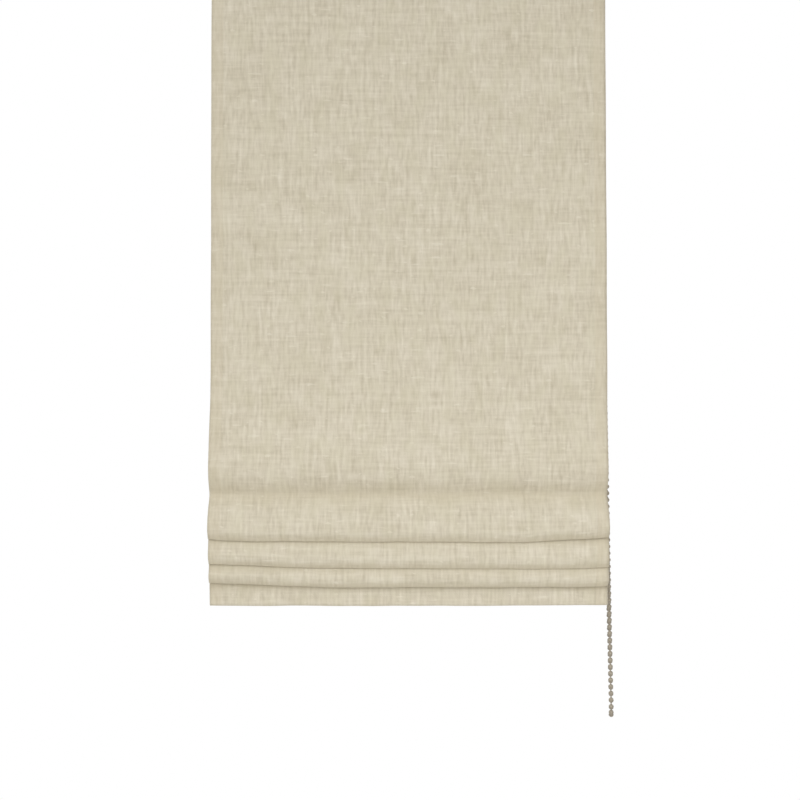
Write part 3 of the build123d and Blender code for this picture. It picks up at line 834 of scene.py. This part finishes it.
def makeLiftCord(side):
    points = cordRoute(side)
    curve = bpy.data.curves.new(f"liftCord{side}", "CURVE")
    curve.dimensions = "3D"
    spline = curve.splines.new("NURBS")
    spline.points.add(len(points) - 1)
    for point, place in zip(spline.points, points):
        point.co = (*place, 1)
    spline.order_u = 3
    spline.use_endpoint_u = True
    curve.bevel_depth = cordCut["diameter"] / 2 - cordCut["gap"]
    curve.bevel_resolution = cordCut["smoothness"]
    curve.use_fill_caps = True
    holder = bpy.data.objects.new("cordRoute", curve)
    bm = bmesh.new()
    mesh = bpy.data.meshes.new_from_object(holder)
    bm.from_mesh(mesh)
    bpy.data.meshes.remove(mesh)
    bpy.data.objects.remove(holder)
    bmesh.ops.remove_doubles(bm, verts=bm.verts[:], dist=sameSpot)
    cord = makePiece(f"liftCord{side.capitalize()}", bm, "cord", sharp=60)
    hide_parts(f"lift_cord_{side}")
    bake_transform(cord)


for side in ("left", "right"):
    makeLiftCord(side)
print("lift cords made")


# Bead chain round the wheel

chainCut = {
    "pitch": 0.006, "pockets": 10, "strandPitches": 113,
    "lean": 0.0155, "twist": 0.0019,  # how far the loop's lower end hangs out, and how it is turned
    "bead": 0.0045, "beadLength": 0.0043, "beadSides": 12, "beadRings": 8,
    "thread": 0.0012, "threadSides": 8,
}


def facing(place, way):
    return Matrix.Translation(place) @ way.to_track_quat("Z", "Y").to_matrix().to_4x4()


def chainPlaces():
    radius = chainCut["pitch"] / 2 / math.sin(math.pi / chainCut["pockets"])
    axis = next(joint["pos_m"] for joint in frame["joints"] if joint["name"] == "drive_turn")[2]
    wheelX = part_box("bead_chain")[0].x + chainCut["bead"] / 2
    count = chainCut["strandPitches"]
    half = chainCut["pockets"] // 2
    drop = math.sqrt((count * chainCut["pitch"]) ** 2 - chainCut["lean"] ** 2)

    def strand(side):
        lean = chainCut["lean"] + side * chainCut["twist"]
        shares = [i / count for i in range(count + 1)]
        return [Vector((wheelX + lean * share, side * radius, axis - drop * share)) for share in shares]

    def bow(x, z, up, twist):  # from the front strand to the rear one
        places = []
        for i in range(1, half):
            turn = math.pi * i / half
            rise = up * radius * math.sin(turn)
            places.append(Vector((x - twist * math.cos(turn), -radius * math.cos(turn), z + rise)))
        return places

    foot = bow(wheelX + chainCut["lean"], axis - drop, -1, chainCut["twist"])
    head = bow(wheelX, axis, 1, 0)
    return strand(-1) + foot + strand(1)[::-1] + head[::-1]


def makeChain():
    places = chainPlaces()
    bead = bmesh.new()
    size = (chainCut["bead"], chainCut["bead"], chainCut["beadLength"])
    bmesh.ops.create_uvsphere(bead, u_segments=chainCut["beadSides"], v_segments=chainCut["beadRings"],
                              radius=0.5, matrix=sized((0, 0, 0), size))
    link = bmesh.new()
    bmesh.ops.create_cone(link, cap_ends=False, segments=chainCut["threadSides"], depth=chainCut["pitch"],
                          radius1=chainCut["thread"] / 2, radius2=chainCut["thread"] / 2)
    beads = []
    links = []
    for before, place, after in zip([places[-1]] + places, places, places[1:] + places[:1]):
        beads.append(facing(place, after - before))
        links.append(facing((place + after) / 2, after - place))
    bm = bmesh.new()
    stamp(bm, bead, beads)
    stamp(bm, link, links)
    chain = makePiece("beadChain", bm, "chain", sharp=60)
    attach(chain, bodyOf["bead_chain"])
    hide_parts("bead_chain")
    print("bead chain made,", len(places), "beads")


makeChain()


# Floor, light and camera

studio = {
    "floorZ": -0.95, "floorSize": 12.0, "floorColour": (0.92, 0.92, 0.92, 1),
    "shadowReach": (0.15, 0.4), "bareShare": 0.75,  # floor is shaded this near, and this white even there
    "white": (1, 1, 1, 1),
    "fill": (1.0, 0.96, 0.86, 1), "fillStrength": 0.305,
    "aim": (0, 0, -0.4),
    "sun": {"place": (-0.4, -1.65, 1.3), "spread": 55, "power": 1.8, "colour": (0.945, 0.975, 1.015)},
    "lamp": {"place": (0.1, -1.05, -0.94), "size": 0.8, "power": 5.0},
    "rearLamp": {"place": (-0.5, 1.5, 0.1), "size": 1.2, "power": 9.0},
}
shot = {"lens": 48.5, "sensor": 36.0, "place": (-0.0076, -0.98, -0.4186)}


def directRays(wire):  # 1 on rays that are seen, mirrored or let through
    camera = wire.node("ShaderNodeLightPath")
    glossy = wire.node("ShaderNodeLightPath", out=3)
    through = wire.node("ShaderNodeLightPath", out=6)
    return wire.maths("MAXIMUM", wire.maths("MAXIMUM", camera, glossy), through)


def makeFloor():
    bm = bmesh.new()
    bmesh.ops.create_grid(bm, x_segments=1, y_segments=1, size=studio["floorSize"] / 2,
                          matrix=Matrix.Translation((0, 0, studio["floorZ"])))
    mesh = bpy.data.meshes.new("studioFloor")
    bm.to_mesh(mesh)
    bm.free()
    material, wire = startFinish("floorWhite")
    away = wire.node("ShaderNodeVectorMath", {"operation": "LENGTH"}, {0: objectPlace(wire)}, out=1)
    limits = [math.hypot(reach, studio["floorZ"]) for reach in studio["shadowReach"]]
    share = studio["bareShare"]
    bare = share + (1 - share) * step(wire, away, *limits)
    matte = wire.node("ShaderNodeBsdfDiffuse", {}, {"Color": studio["floorColour"]})
    glow = wire.node("ShaderNodeEmission", {}, {"Color": studio["white"], "Strength": 1.0})
    seen = wire.node("ShaderNodeMixShader", {}, {0: directRays(wire) * bare, 1: matte, 2: glow})
    wire.node("ShaderNodeOutputMaterial", {}, {"Surface": seen})
    mesh.materials.append(material)
    floor = bpy.data.objects.new("studioFloor", mesh)
    bpy.context.scene.collection.objects.link(floor)


def makeWorld():
    world = bpy.data.worlds.new("studioWorld")
    bpy.context.scene.world = world
    world.use_nodes = True
    world.node_tree.nodes.clear()
    wire = Wire(world.node_tree)
    fill = {"Color": studio["fill"], "Strength": studio["fillStrength"]}
    soft = wire.node("ShaderNodeBackground", {}, fill)
    white = wire.node("ShaderNodeBackground", {}, {"Color": studio["white"], "Strength": 1.0})
    mixed = wire.node("ShaderNodeMixShader", {}, {0: directRays(wire), 1: soft, 2: white})
    wire.node("ShaderNodeOutputWorld", {}, {"Surface": mixed})


def makeLight(name, kind, place, power):
    light = bpy.data.lights.new(name, kind)
    light.energy = power
    holder = bpy.data.objects.new(name, light)
    holder.location = place
    aim = Vector(studio["aim"]) - Vector(place)
    holder.rotation_euler = aim.to_track_quat("-Z", "Y").to_euler()
    bpy.context.scene.collection.objects.link(holder)
    return light


def makeLights():
    sun = makeLight("softSun", "SUN", studio["sun"]["place"], studio["sun"]["power"])
    sun.angle = math.radians(studio["sun"]["spread"])
    sun.color = studio["sun"]["colour"]
    for name in ("lamp", "rearLamp"):
        lamp = makeLight(name, "AREA", studio[name]["place"], studio[name]["power"])
        lamp.shape = "DISK"
        lamp.size = studio[name]["size"]


def makeCamera():
    camera = bpy.data.cameras.new("frontCamera")
    camera.lens = shot["lens"]
    camera.sensor_width = shot["sensor"]
    holder = bpy.data.objects.new("frontCamera", camera)
    holder.location = shot["place"]
    holder.rotation_euler = (math.pi / 2, 0, 0)
    bpy.context.scene.collection.objects.link(holder)
    bpy.context.scene.camera = holder


makeFloor()
makeWorld()
makeLights()
makeCamera()
bpy.context.scene.view_settings.view_transform = "Standard"
print("studio made")
